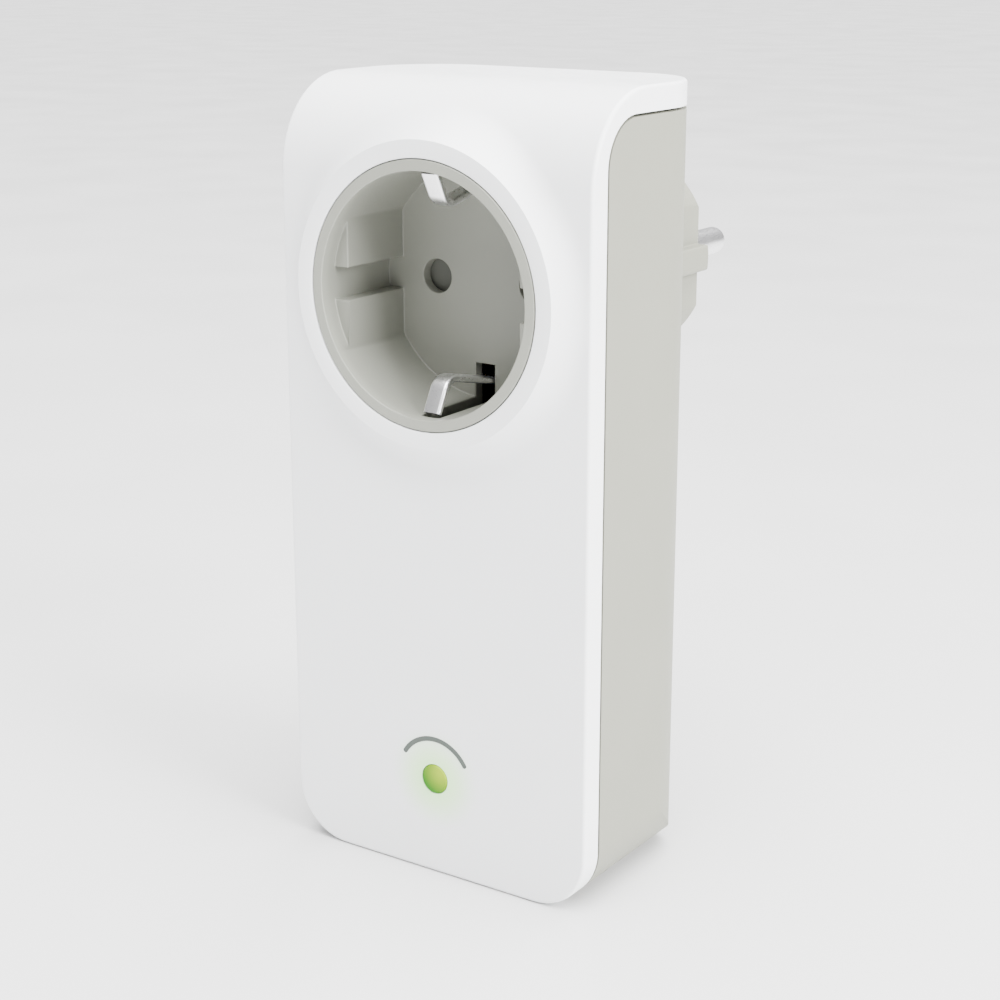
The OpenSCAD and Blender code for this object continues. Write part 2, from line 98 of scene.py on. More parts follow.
class Shader:
    """One material's node tree with a principled shader, and short ways to add nodes."""

    def __init__(self, name: str) -> None:
        """Starts the material.

        Args:
            name: Name of the material.
        """
        self.material = bpy.data.materials.new(name)
        self.material.use_nodes = True
        self.tree = self.material.node_tree
        self.tree.nodes.clear()
        output = self.tree.nodes.new("ShaderNodeOutputMaterial")
        self.surface = self.tree.nodes.new("ShaderNodeBsdfPrincipled")
        self.join(self.surface.outputs["BSDF"], output.inputs["Surface"])
        self.coords = self.tree.nodes.new("ShaderNodeTexCoord")

    def join(self, source: Socket, target: Socket) -> None:
        """Links one socket to another."""
        self.tree.links.new(source, target)

    def set(self, **values: float | Sequence[float]) -> None:
        """Sets constants on the principled shader, with underscores for the spaces in socket names."""
        for key, value in values.items():
            self.surface.inputs[key.replace("_", " ")].default_value = value

    def place(self, stretch: Point = (1, 1, 1)) -> Socket:
        """Gives the place on the object in millimetres.

        Args:
            stretch: Factor on each axis, for patterns that run along one axis.

        Returns:
            The vector socket.
        """
        mapping = self.tree.nodes.new("ShaderNodeMapping")
        mapping.inputs["Scale"].default_value = [factor / MM for factor in stretch]
        self.join(self.coords.outputs["Object"], mapping.inputs["Vector"])
        return mapping.outputs["Vector"]

    def noise(self, size: float, detail: float = 2, stretch: Point = (1, 1, 1)) -> Socket:
        """Adds a noise.

        Args:
            size: Size of one blot in millimetres.
            detail: Octaves.
            stretch: Factor on each axis.

        Returns:
            The noise's factor socket.
        """
        node = self.tree.nodes.new("ShaderNodeTexNoise")
        node.inputs["Scale"].default_value = 1 / size
        node.inputs["Detail"].default_value = detail
        self.join(self.place(stretch), node.inputs["Vector"])
        return node.outputs["Fac"]

    def ramp(self, factor: Socket, stops: Sequence[tuple[float, Colour]]) -> Socket:
        """Adds a colour ramp.

        Args:
            factor: Socket that drives it.
            stops: Positions and colours, in order.

        Returns:
            The colour socket.
        """
        node = self.tree.nodes.new("ShaderNodeValToRGB")
        elements = node.color_ramp.elements
        for _ in range(len(stops) - len(elements)):
            elements.new(0.5)
        for element, (position, colour) in zip(elements, stops):
            element.position = position
            element.color = (*colour, 1)
        self.join(factor, node.inputs["Fac"])
        return node.outputs["Color"]

    def span(self, factor: Socket, source: tuple[float, float], target: tuple[float, float],
             eased: bool = False) -> Socket:
        """Maps a factor from one range to another.

        Args:
            factor: Socket that is mapped.
            source: Lowest and highest value going in.
            target: What they become.
            eased: Whether the ends are eased.

        Returns:
            The result socket.
        """
        node = self.tree.nodes.new("ShaderNodeMapRange")
        if eased:
            node.interpolation_type = "SMOOTHSTEP"
        ends = dict(zip(("From Min", "From Max", "To Min", "To Max"), (*source, *target)))
        for key, value in ends.items():
            node.inputs[key].default_value = value
        self.join(factor, node.inputs["Value"])
        return node.outputs["Result"]

    def mix(self, factor: Socket, first: Socket, second: Colour) -> Socket:
        """Mixes a fixed colour over another one.

        Args:
            factor: How much of the second colour shows.
            first: Socket of the first colour.
            second: The second colour.

        Returns:
            The colour socket.
        """
        node = self.tree.nodes.new("ShaderNodeMix")
        node.data_type = "RGBA"
        self.join(factor, node.inputs["Factor"])
        self.join(first, node.inputs["A"])
        node.inputs["B"].default_value = (*second, 1)
        return node.outputs["Result"]

    def distance(self, centre: Point, weight: Point) -> Socket:
        """Gives the distance from a line or a point in millimetres.

        Args:
            centre: A point on the line, in millimetres.
            weight: 1 for the axes that count and 0 for the line's own axis.

        Returns:
            The distance socket.
        """
        shift = self.tree.nodes.new("ShaderNodeVectorMath")
        shift.operation = "SUBTRACT"
        shift.inputs[1].default_value = centre
        self.join(self.place(), shift.inputs[0])
        pick = self.tree.nodes.new("ShaderNodeVectorMath")
        pick.operation = "MULTIPLY"
        pick.inputs[1].default_value = weight
        self.join(shift.outputs["Vector"], pick.inputs[0])
        length = self.tree.nodes.new("ShaderNodeVectorMath")
        length.operation = "LENGTH"
        self.join(pick.outputs["Vector"], length.inputs[0])
        return length.outputs["Value"]

    def bump(self, height: Socket, depth: float, strength: float = 1) -> None:
        """Puts a relief on the surface.

        Args:
            height: Socket with the relief's height from 0 to 1.
            depth: What 1 stands for, in millimetres.
            strength: Strength of the effect.
        """
        node = self.tree.nodes.new("ShaderNodeBump")
        node.inputs["Distance"].default_value = depth * MM
        node.inputs["Strength"].default_value = strength
        self.join(height, node.inputs["Height"])
        self.join(node.outputs["Normal"], self.surface.inputs["Normal"])

    def colour(self, source: Socket) -> None:
        """Drives the base colour."""
        self.join(source, self.surface.inputs["Base Color"])

    def rough(self, source: Socket) -> None:
        """Drives the roughness."""
        self.join(source, self.surface.inputs["Roughness"])


def shade(colour: Colour, factor: float) -> Colour:
    """Scales a colour's brightness."""
    return tuple(min(1.0, channel * factor) for channel in colour)


@dataclass(frozen=True)
class Plastic:
    """Moulded plastic: faint clouding in the colour, and the tool's texture as relief."""

    name: str
    colour: Colour
    roughness: float = 0.4
    lobe: Lobe = Lobe.SPARKED
    grain: float = 0.35
    depth: float = 0.02
    clouding: float = 0.02
    specular: float = 0.5

    def start(self) -> tuple[Shader, Socket]:
        """Builds the material up to its colour.

        Returns:
            The shader and the socket of the clouded colour.
        """
        made = Shader(self.name)
        made.set(Specular_IOR_Level=self.specular)
        cloud = made.noise(14, 3)
        clouded = made.ramp(cloud, [(0.3, shade(self.colour, 1 - self.clouding)),
                                    (0.7, shade(self.colour, 1 + self.clouding))])
        stretch = (1, 1, 0.15) if self.lobe is Lobe.BRUSHED else (1, 1, 1)
        grain = made.noise(self.grain, 3 if self.lobe is Lobe.SPARKED else 1, stretch)
        made.rough(made.span(grain, (0.3, 0.7), (self.roughness - 0.04, self.roughness + 0.04)))
        made.bump(grain, self.depth)
        return made, clouded

    def build(self) -> bpy.types.Material:
        """Builds the material."""
        made, clouded = self.start()
        made.colour(clouded)
        return made.material


@dataclass(frozen=True)
class PaintedGlowPlastic(Plastic):
    """Plastic thin enough round the button to let some of its light through; that light is a painted glow, a
    greener colour mixed in round the button, and no light is emitted.
    """

    # Colour of the painted glow round the button
    painted_glow: Colour = (0.58, 0.94, 0.42)
    inner: float = 2.4
    reach: float = 9.5
    strength: float = 0.85

    def build(self) -> bpy.types.Material:
        """Builds the material."""
        made, clouded = self.start()
        # Painted glow: the colour turns greener near the button's axis and fades out by reach
        away = made.distance((0, 0, BUTTON_Z), (1, 0, 1))
        amount = made.span(away, (self.inner, self.reach), (self.strength, 0), eased=True)
        made.colour(made.mix(amount, clouded, self.painted_glow))
        return made.material


@dataclass(frozen=True)
class ShadedRecessPlastic(Plastic):
    """Plastic of the socket, with painted shade that makes its colour deeper inside the recess than on its
    rim.
    """

    # Colour factor of the painted shade deep in the recess
    inside: float = 0.88
    rim: float = 0.4
    reach: float = 2.4

    def build(self) -> bpy.types.Material:
        """Builds the material."""
        made, clouded = self.start()
        # Painted shade: the colour darkens with depth behind the rim
        depth = made.distance((0, RIM_Y, 0), (0, 1, 0))
        amount = made.span(depth, (self.rim, self.reach), (0, 1), eased=True)
        made.colour(made.mix(amount, clouded, shade(self.colour, self.inside)))
        return made.material


@dataclass(frozen=True)
class PrintedLabel(Plastic):
    """Smooth label with one thin printed line round its edge."""

    ink: Colour = (0.16, 0.165, 0.16)
    margin: float = 1.2
    line: float = 0.5

    def build(self) -> bpy.types.Material:
        """Builds the material."""
        made, _ = self.start()
        low, high = box_mm("rating_label")
        centre = tuple(float(value) for value in (low + high) / 2)
        edges = []
        for axis, weight in ((0, (1, 0, 0)), (2, (0, 0, 1))):
            reach = float(high[axis] - low[axis]) / 2 - self.margin
            away = made.distance(centre, weight)
            edges.append(made.span(away, (reach - self.line, reach), (0, 1)))
        nearest = made.tree.nodes.new("ShaderNodeMath")
        nearest.operation = "MAXIMUM"
        made.join(edges[0], nearest.inputs[0])
        made.join(edges[1], nearest.inputs[1])
        stops = [(0.1, self.colour), (0.3, self.ink), (0.7, self.ink), (0.9, self.colour)]
        made.colour(made.ramp(nearest.outputs[0], stops))
        return made.material


@dataclass(frozen=True)
class Metal:
    """Plated or stamped metal with fine draw lines and slightly uneven polish."""

    name: str
    colour: Colour
    roughness: float = 0.22
    line: float = 0.12
    depth: float = 0.004
    along: Point = (1, 0.08, 1)

    def build(self) -> bpy.types.Material:
        """Builds the material."""
        made = Shader(self.name)
        made.set(Metallic=1.0)
        tarnish = made.noise(2.5, 3)
        made.colour(made.ramp(tarnish, [(0.3, shade(self.colour, 0.94)), (0.7, shade(self.colour, 1.03))]))
        lines = made.noise(self.line, 2, self.along)
        made.rough(made.span(lines, (0.25, 0.75), (self.roughness - 0.05, self.roughness + 0.07)))
        made.bump(lines, self.depth)
        return made.material


@dataclass(frozen=True)
class LitLens:
    """Green lens with a light behind its upper right."""

    name: str
    low: Colour
    high: Colour
    centre: Point
    radius: float
    strength: float = 0.5

    def build(self) -> bpy.types.Material:
        """Builds the material."""
        made = Shader(self.name)
        made.set(Roughness=0.4, Specular_IOR_Level=0.2, Emission_Strength=self.strength)
        away = made.distance(self.centre, (1, 0, 1))
        tint = made.ramp(made.span(away, (0, 2 * self.radius), (0, 1)), [(0.15, self.high), (0.85, self.low)])
        made.colour(tint)
        made.join(tint, made.surface.inputs["Emission Color"])
        made.bump(made.noise(0.4, 1), 0.01)
        return made.material


@dataclass(frozen=True)
class SolderMask:
    """Circuit board with its copper traces showing faintly through green varnish."""

    name: str
    mask: Colour = (0.015, 0.12, 0.05)
    trace: Colour = (0.03, 0.20, 0.08)

    def build(self) -> bpy.types.Material:
        """Builds the material."""
        made = Shader(self.name)
        made.set(Roughness=0.3)
        cells = made.tree.nodes.new("ShaderNodeTexVoronoi")
        cells.distance = "MANHATTAN"
        cells.feature = "DISTANCE_TO_EDGE"
        cells.inputs["Scale"].default_value = 0.35
        made.join(made.place(), cells.inputs["Vector"])
        edge = made.span(cells.outputs["Distance"], (0.08, 0.14), (0, 1))
        made.colour(made.ramp(edge, [(0.4, self.mask), (0.6, self.trace)]))
        made.bump(edge, 0.03)
        return made.material


@dataclass(frozen=True)
class Winding:
    """Enamelled wire wound in close turns."""

    name: str
    colour: Colour
    turn: float = 0.6

    def build(self) -> bpy.types.Material:
        """Builds the material."""
        made = Shader(self.name)
        made.set(Metallic=0.8, Roughness=0.3)
        grain = made.noise(self.turn, 1)
        made.colour(made.ramp(grain, [(0.35, shade(self.colour, 0.7)), (0.65, self.colour)]))
        made.bump(grain, 0.05)
        return made.material


FINISHES = [
    # white_shell has a painted glow: greener colour round the button, no light emitted
    PaintedGlowPlastic("white_shell", (0.86, 0.87, 0.88), roughness=0.38, lobe=Lobe.PEEL, grain=2.2,
                   depth=0.012, clouding=0.008, specular=0.45),
    Plastic("grey_shell", (0.205, 0.207, 0.168), roughness=0.5, grain=0.22, depth=0.018, specular=0.4),
    # grey_socket has painted shade: darker inside the recess than on the rim
    ShadedRecessPlastic("grey_socket", (0.245, 0.250, 0.215), grain=0.3, depth=0.008, specular=0.45),
    # Darker copy of the socket's grey: painted shade for the shutter deep behind the socket's holes
    Plastic("shutter_shaded_grey", (0.085, 0.088, 0.075), roughness=0.45, grain=0.3, depth=0.01, clouding=0.03),
    Plastic("dark_plastic", (0.035, 0.035, 0.038), roughness=0.45, grain=0.25, clouding=0.1),
    Metal("spring_steel", (0.62, 0.62, 0.63), roughness=0.3),
    Metal("nickel", (0.87, 0.87, 0.88), roughness=0.3, line=0.12, depth=0.0015),
    Metal("brass_strip", (0.75, 0.53, 0.22), roughness=0.28),
    SolderMask("circuit_board"),
    Plastic("fuse_glass", (0.7, 0.72, 0.71), roughness=0.12, lobe=Lobe.PEEL, grain=1.0, depth=0.005,
            clouding=0.05),
    Plastic("blue_coat", (0.02, 0.08, 0.35), roughness=0.3, lobe=Lobe.PEEL, grain=1.2, depth=0.08,
            clouding=0.08),
    Plastic("yellow_case", (0.75, 0.50, 0.06), roughness=0.35, lobe=Lobe.PEEL, grain=1.5, depth=0.03,
            clouding=0.05),
    Plastic("ferrite", (0.04, 0.042, 0.04), roughness=0.65, grain=0.3, depth=0.04, clouding=0.15),
    Winding("copper_wire", (0.62, 0.24, 0.10)),
    Plastic("chip_black", (0.02, 0.02, 0.022), roughness=0.55, grain=0.15, depth=0.015, clouding=0.1),
    Plastic("capacitor_sleeve", (0.012, 0.02, 0.06), roughness=0.25, lobe=Lobe.PEEL, grain=2.0,
            clouding=0.08),
    Metal("heatsink", (0.75, 0.76, 0.78), roughness=0.35, line=0.2, depth=0.01, along=(1, 1, 0.05)),
    Metal("gold_wire", (0.90, 0.66, 0.25), roughness=0.18),
    Plastic("led_body", (0.75, 0.9, 0.65), roughness=0.15, lobe=Lobe.PEEL, grain=0.8, depth=0.01,
            clouding=0.05),
    PrintedLabel("label", (0.66, 0.66, 0.65), roughness=0.33, lobe=Lobe.BRUSHED, grain=0.5, depth=0.004),
    Plastic("grey_print", (0.060, 0.074, 0.064), roughness=0.55, grain=0.2, depth=0.004, clouding=0.05),
    LitLens("lit_lens", low=(0.02, 0.14, 0.0), high=(0.25, 0.36, 0.0), centre=(1.6, 0, BUTTON_Z + 1.6),
            radius=2.5),
]


class Wardrobe:
    """Holds every finish, and dresses nodes and pieces with them."""

    def __init__(self) -> None:
        """Builds all finishes once."""
        self.materials = {finish.name: finish.build() for finish in FINISHES}
        self.slots = {part["node"]: part["material_slot"] for part in RECORD["subparts"]}

    def dress_node(self, node: str) -> None:
        """Gives a CAD node the finish of its slot."""
        for holder in frame["nodes"][node].material_slots:
            holder.material = self.materials[self.slots[node]]

    def dress_piece(self, piece: bpy.types.Object, slot: str) -> None:
        """Gives a made piece the finish of a slot.

        Args:
            piece: The piece.
            slot: Name of the record's material slot.
        """
        piece.data.materials.clear()
        piece.data.materials.append(self.materials[slot])


# ---- Mesh helpers ----


def add_piece(name: str, mesh: bpy.types.Mesh) -> bpy.types.Object:
    """Puts a mesh into the scene as a piece at the origin."""
    piece = bpy.data.objects.new(name, mesh)
    bpy.context.scene.collection.objects.link(piece)
    return piece


def bake(piece: bpy.types.Object) -> bpy.types.Object:
    """Applies all modifiers of a piece.

    Args:
        piece: Piece with modifiers.

    Returns:
        The same piece with its final mesh and no modifiers.
    """
    graph = bpy.context.evaluated_depsgraph_get()
    mesh = bpy.data.meshes.new_from_object(piece.evaluated_get(graph))
    piece.modifiers.clear()
    piece.data = mesh
    return piece


def smooth(mesh: bpy.types.Mesh, angle: float) -> None:
    """Shades a mesh smooth except across edges sharper than an angle in degrees."""
    mesh.polygons.foreach_set("use_smooth", [True] * len(mesh.polygons))
    mesh.set_sharp_from_angle(angle=math.radians(angle))


def softened(node: str, width: float, angle: float = 40, segments: int = 3) -> bpy.types.Object:
    """Copies a CAD node and rounds its edges.

    Args:
        node: Name of the CAD node.
        width: Width of the rounding in millimetres.
        angle: Edges sharper than this many degrees are rounded.
        segments: Rows of faces in the rounding.

    Returns:
        The new piece, which stands for the node.
    """
    mesh = frame["nodes"][node].data.copy()
    shape = bmesh.new()
    shape.from_mesh(mesh)
    bmesh.ops.remove_doubles(shape, verts=shape.verts, dist=0.5e-6)
    bmesh.ops.dissolve_limit(shape, angle_limit=math.radians(0.2), verts=shape.verts, edges=shape.edges)
    shape.to_mesh(mesh)
    shape.free()
    if "custom_normal" in mesh.attributes:
        mesh.attributes.remove(mesh.attributes["custom_normal"])
    piece = add_piece(f"{node}.soft", mesh)
    rounding = piece.modifiers.new("rounding", "BEVEL")
    rounding.width = width * MM
    rounding.segments = segments
    rounding.limit_method = "ANGLE"
    rounding.angle_limit = math.radians(angle)
    rounding.use_clamp_overlap = False
    bake(piece)
    smooth(piece.data, 35)
    piece.modifiers.new("even_normals", "WEIGHTED_NORMAL").keep_sharp = True
    bake(piece)
    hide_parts(node)
    return piece


# ---- Front cover ----


@dataclass
class FrontCover:
    """White cover: front face, bend, top and a narrow band round its edge, with the raised socket ring."""

    wardrobe: Wardrobe
    bend: float = 15
    foot: float = 10
    back_corner: float = 13.5
    band: float = 4
    seam: float = 8
    edge: float = 0.6
    hole: float = 21.35
    ring: float = 24.2
    flare: float = 5.2
    wall: float = 2.2
    button_hole: float = 2.62
    hole_round: float = 0.25
    flare_curve: float = 2.2
    rays: int = 288
    corner_rays: int = 16
    flare_rows: int = 18
    outer_rows: int = 12
    edge_rows: int = 6

    def __post_init__(self) -> None:
        """Works out the places that follow from the frame."""
        self.half = float(COVER_HIGH[0])
        self.top = float(COVER_HIGH[2])
        self.back = float(COVER_HIGH[1])
        self.front = -self.back
        self.bend_z = self.top - self.bend
        self.bend_s = self.bend_z + self.bend * math.pi / 2
        self.end_s = self.bend_s + self.back - self.front - self.bend

    def lift(self, s: np.ndarray) -> tuple[np.ndarray, np.ndarray, np.ndarray, np.ndarray]:
        """Turns a length along the side profile into a place and a direction.

        Args:
            s: Lengths from the base, up the front, over the bend and back along the top.

        Returns:
            Y, Z, and the outward normal's Y and Z.
        """
        turn = np.clip((s - self.bend_z) / self.bend, 0, math.pi / 2)
        y = self.front + self.bend * (1 - np.cos(turn)) + np.maximum(s - self.bend_s, 0)
        z = np.minimum(s, self.bend_z) + self.bend * np.sin(turn)
        return y, z, -np.cos(turn), np.sin(turn)

    def along(self, z: np.ndarray) -> np.ndarray:
        """Gives the length along the side profile for a height on the front or the bend."""
        ratio = np.clip((z - self.bend_z) / self.bend, 0, 1)
        return np.minimum(z, self.bend_z) + self.bend * np.arcsin(ratio)

    def outline(self, theta: np.ndarray) -> tuple[np.ndarray, ...]:
        """Finds where rays from the socket axis meet the unrolled outline, inset by the edge's rounding.

        Args:
            theta: Ray angles.

        Returns:
            X and length of the meeting points, and the outline's outward direction there.
        """
        half, low, high = self.half - self.edge, self.edge, self.end_s - self.edge
        ray = np.stack([np.cos(theta), np.sin(theta)])
        to_side = np.abs(half / ray[0])
        to_end = np.where(ray[1] > 0, (high - AXIS_Z) / ray[1], (low - AXIS_Z) / ray[1])
        reach = np.minimum(to_side, to_end)
        on_side = to_side < to_end
        sideways = np.stack([np.sign(ray[0]), 0 * theta])
        endways = np.stack([0 * theta, np.sign(ray[1])])
        out = np.where(on_side, sideways, endways)
        for radius, end in ((self.foot - self.edge, low), (self.back_corner - self.edge, high)):
            inward = 1 if end == low else -1
            for side in (-1, 1):
                centre = np.array([side * (half - radius), end + inward * radius - AXIS_Z])
                middle = centre @ ray
                inside = middle**2 - centre @ centre + radius**2
                far = middle + np.sqrt(np.maximum(inside, 0))
                hit = far * ray
                past_side = hit[0] * side >= centre[0] * side
                past_end = (hit[1] - centre[1]) * inward <= 0
                corner = past_side & past_end & (inside > 0)
                reach = np.where(corner, far, reach)
                out = np.where(corner, (hit - centre[:, None]) / radius, out)
        return reach * ray[0], AXIS_Z + reach * ray[1], out[0], out[1]

    def band_depth(self, s: np.ndarray) -> np.ndarray:
        """Gives the band's width under each point of the outline, down to the seam."""
        turn = np.clip((s - self.bend_z) / self.bend, 1e-6, math.pi / 2 - 1e-6)
        offset = self.bend - self.band - self.seam
        middle = offset * (np.cos(turn) + np.sin(turn))
        arc = middle + np.sqrt(middle**2 - 2 * offset**2 + self.seam**2)
        straight = self.bend - self.band
        limit = math.atan2(offset, straight)
        reach = np.where(turn < limit, straight / np.cos(turn), arc)
        reach = np.where(turn > math.pi / 2 - limit, straight / np.sin(turn), reach)
        return self.bend - reach

    def angles(self) -> np.ndarray:
        """Gives the ray angles: even ones, and more through the four rounded corners."""
        sets = [(np.arange(self.rays) + 0.5) * 2 * math.pi / self.rays]
        low, high = self.edge - AXIS_Z, self.end_s - self.edge - AXIS_Z
        for radius, end, inward in ((self.foot, low, 1), (self.back_corner, high, -1)):
            round_corner = np.linspace(0, math.pi / 2, self.corner_rays)
            x = self.half - self.edge - radius + radius * np.cos(round_corner)
            s = end + inward * (radius - radius * np.sin(round_corner))
            for side in (-1, 1):
                sets.append(np.arctan2(s, side * x) % (2 * math.pi))
        merged = np.sort(np.concatenate(sets))
        gap = 2 * math.pi / self.rays / 5
        return merged[np.insert(np.diff(merged) > gap, 0, True)]

    def rows(self) -> list[np.ndarray]:
        """Builds the cover's outer skin, row by row from the socket's hole to the seam.

        Returns:
            Rows of points in millimetres, one point for each ray.
        """
        theta = self.angles()
        rows: list[np.ndarray] = []
        for turn in np.linspace(math.pi / 2, 0, 4):
            radius = self.hole + self.hole_round * (1 - math.sin(turn))
            depth = RIM_Y + self.hole_round * (1 - math.cos(turn))
            x, z = radius * np.cos(theta), AXIS_Z + radius * np.sin(theta)
            rows.append(np.stack([x, 0 * theta + depth, z], 1))
        edge_x, edge_s, out_x, out_s = self.outline(theta)
        end_r = np.minimum(self.ring + self.flare, np.hypot(edge_x, edge_s - AXIS_Z) - 0.05)
        steps = [-0.62, -0.06, 0, 0.01, *np.linspace(0.03, 1, self.flare_rows)]
        for step in steps:
            if step <= 0:
                radius = self.ring + step + 0 * theta
            else:
                radius = self.ring + (end_r - self.ring) * step
            x, z = radius * np.cos(theta), AXIS_Z + radius * np.sin(theta)
            base = self.lift(self.along(z))[0]
            fall = np.clip(1 - (radius - self.ring) / self.flare, 0, 1)
            y = base + (RIM_Y - base) * np.where(radius <= self.ring, 1, fall**self.flare_curve)
            rows.append(np.stack([x, y, z], 1))
        start_x, start_s = end_r * np.cos(theta), self.along(AXIS_Z + end_r * np.sin(theta))
        room = np.hypot(edge_x - start_x, edge_s - start_s)
        for index in range(1, self.outer_rows + 2):
            share = np.minimum(index / self.outer_rows, 1) * np.ones_like(theta)
            if index == self.outer_rows:
                share = 1 - np.minimum(0.15 / np.maximum(room, 0.01), 0.5 / self.outer_rows)
            s = start_s + (edge_s - start_s) * share
            y, z = self.lift(s)[:2]
            rows.append(np.stack([start_x + (edge_x - start_x) * share, y, z], 1))
        y0, z0, ny, nz = self.lift(edge_s)
        along_y, along_z = nz * out_s, -ny * out_s
        depth = self.band_depth(edge_s)
        steps = [(self.edge * math.sin(turn), self.edge * (1 - math.cos(turn)))
                 for turn in np.linspace(math.pi / 12, math.pi / 2, self.edge_rows)]
        steps += [(self.edge, self.edge + (depth - self.edge) * share) for share in (0.12, 0.5, 0.94, 1)]
        for out, down in steps:
            rows.append(np.stack([edge_x + out_x * out, y0 + along_y * out - ny * down,
                                  z0 + along_z * out - nz * down], 1))
        return rows

    def build(self) -> bpy.types.Object:
        """Builds and dresses the cover.

        Returns:
            The piece, which stands for the CAD node.
        """
        rows = self.rows()
        count = len(rows[0])
        points = np.concatenate(rows) * MM
        faces = [((row + 1) * count + i, (row + 1) * count + (i + 1) % count,
                  row * count + (i + 1) % count, row * count + i)
                 for row in range(len(rows) - 1) for i in range(count)]
        mesh = bpy.data.meshes.new("front_cover.skin")
        mesh.from_pydata(points.tolist(), [], faces)
        piece = add_piece("front_cover.skin", mesh)
        shell = piece.modifiers.new("shell", "SOLIDIFY")
        shell.thickness = self.wall * MM
        shell.offset = -1
        shell.use_even_offset = False
        bake(piece)
        cutter = self.button_cutter()
        cut = piece.modifiers.new("button_hole", "BOOLEAN")
        cut.object = cutter
        cut.solver = "EXACT"
        bake(piece)
        bpy.data.objects.remove(cutter)
        smooth(piece.data, 32)
        self.wardrobe.dress_piece(piece, "white_shell")
        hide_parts("front_cover")
        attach(piece, "casing")
        return piece

    def button_cutter(self) -> bpy.types.Object:
        """Makes the plug that cuts the button's hole."""
        shape = bmesh.new()
        radius = self.button_hole
        bmesh.ops.create_cone(shape, cap_ends=True, segments=96, radius1=radius * MM, radius2=radius * MM,
                              depth=12 * MM)
        turned = Vector((0, 0, 1)).rotation_difference(Vector((0, 1, 0))).to_matrix()
        bmesh.ops.rotate(shape, verts=shape.verts, matrix=turned)
        bmesh.ops.translate(shape, verts=shape.verts, vec=(0, self.front * MM, BUTTON_Z * MM))
        mesh = bpy.data.meshes.new("cutter")
        shape.to_mesh(mesh)
        shape.free()
        return add_piece("cutter", mesh)


# ---- Node-built pieces ----


class Grower:
    """A geometry node tree with named inputs, and short ways to add and link nodes."""

    def __init__(self, name: str, inputs: dict[str, float], material: bpy.types.Material) -> None:
        """Starts the tree.

        Args:
            name: Name of the tree.
            inputs: Names and default values of its size inputs, in metres or as plain numbers.
            material: Material of what it grows.
        """
        self.tree = bpy.data.node_groups.new(name, "GeometryNodeTree")
        faces = self.tree.interface
        faces.new_socket("Geometry", in_out="INPUT", socket_type="NodeSocketGeometry")
        self.sockets: dict[str, str] = {}
        for key, value in inputs.items():
            kind = "NodeSocketInt" if isinstance(value, int) else "NodeSocketFloat"
            socket = faces.new_socket(key, in_out="INPUT", socket_type=kind)
            socket.default_value = value
            self.sockets[key] = socket.identifier
        faces.new_socket("Geometry", in_out="OUTPUT", socket_type="NodeSocketGeometry")
        self.given = self.tree.nodes.new("NodeGroupInput")
        self.result = self.tree.nodes.new("NodeGroupOutput")
        self.material = material

    def add(self, kind: str, settings: dict | None = None, **sockets: object) -> bpy.types.Node:
        """Adds a node.

        Args:
            kind: The node's type.
            settings: Properties of the node.
            sockets: What goes into its inputs by name, with underscores for spaces.

        Returns:
            The node.
        """
        node = self.tree.nodes.new(kind)
        for key, value in (settings or {}).items():
            setattr(node, key, value)
        for key, value in sockets.items():
            index = int(key[1:]) if key[0] == "n" and key[1:].isdigit() else key.replace("_", " ")
            self.feed(node.inputs[index], value)
        return node

    def feed(self, target: Socket, value: object) -> None:
        """Links a socket or a node's first output to an input, or sets a value on it."""
        if isinstance(value, bpy.types.Node):
            value = value.outputs[0]
        if isinstance(value, Socket):
            self.tree.links.new(value, target)
        else:
            target.default_value = value

    def math(self, operation: str, first: object, second: object = 0.0) -> Socket:
        """Adds one sum of two values and gives its result."""
        return self.add("ShaderNodeMath", {"operation": operation}, n0=first, n1=second).outputs[0]

    def span(self, value: object, low: object, high: object, start: object, end: object) -> Socket:
        """Maps a value from low and high to start and end, clamped."""
        return self.add("ShaderNodeMapRange", None, Value=value, From_Min=low, From_Max=high,
                        To_Min=start, To_Max=end).outputs[0]

    def finish(self, geometry: bpy.types.Node) -> None:
        """Ends the tree in Realize Instances and Set Material."""
        whole = self.add("GeometryNodeRealizeInstances", None, Geometry=geometry)
        dressed = self.add("GeometryNodeSetMaterial", None, Geometry=whole, Material=self.material)
        self.tree.links.new(dressed.outputs[0], self.result.inputs[0])

    def grow(self, name: str, values: dict[str, float],
             seed_mesh: bpy.types.Mesh | None = None) -> bpy.types.Object:
        """Runs the tree on a new piece and bakes it.

        Args:
            name: Name of the piece.
            values: Sizes for the named inputs.
            seed_mesh: Mesh that goes in, if the tree needs one.

        Returns:
            The piece with its final mesh, faces outward and no modifier.
        """
        piece = add_piece(name, seed_mesh or bpy.data.meshes.new(name))
        modifier = piece.modifiers.new("growth", "NODES")
        modifier.node_group = self.tree
        for key, value in values.items():
            modifier[self.sockets[key]] = value
        bake(piece)
        shape = bmesh.new()
        shape.from_mesh(piece.data)
        bmesh.ops.remove_doubles(shape, verts=shape.verts, dist=1e-7)
        bmesh.ops.recalc_face_normals(shape, faces=shape.faces)
        shape.to_mesh(piece.data)
        shape.free()
        smooth(piece.data, 40)
        return piece


def path_mesh(name: str, points: Sequence[Point]) -> bpy.types.Mesh:
    """Makes an open line of edges through points given in millimetres."""
    mesh = bpy.data.meshes.new(name)
    edges = [(index, index + 1) for index in range(len(points) - 1)]
    mesh.from_pydata([tuple(value * MM for value in point) for point in points], edges, [])
    return mesh


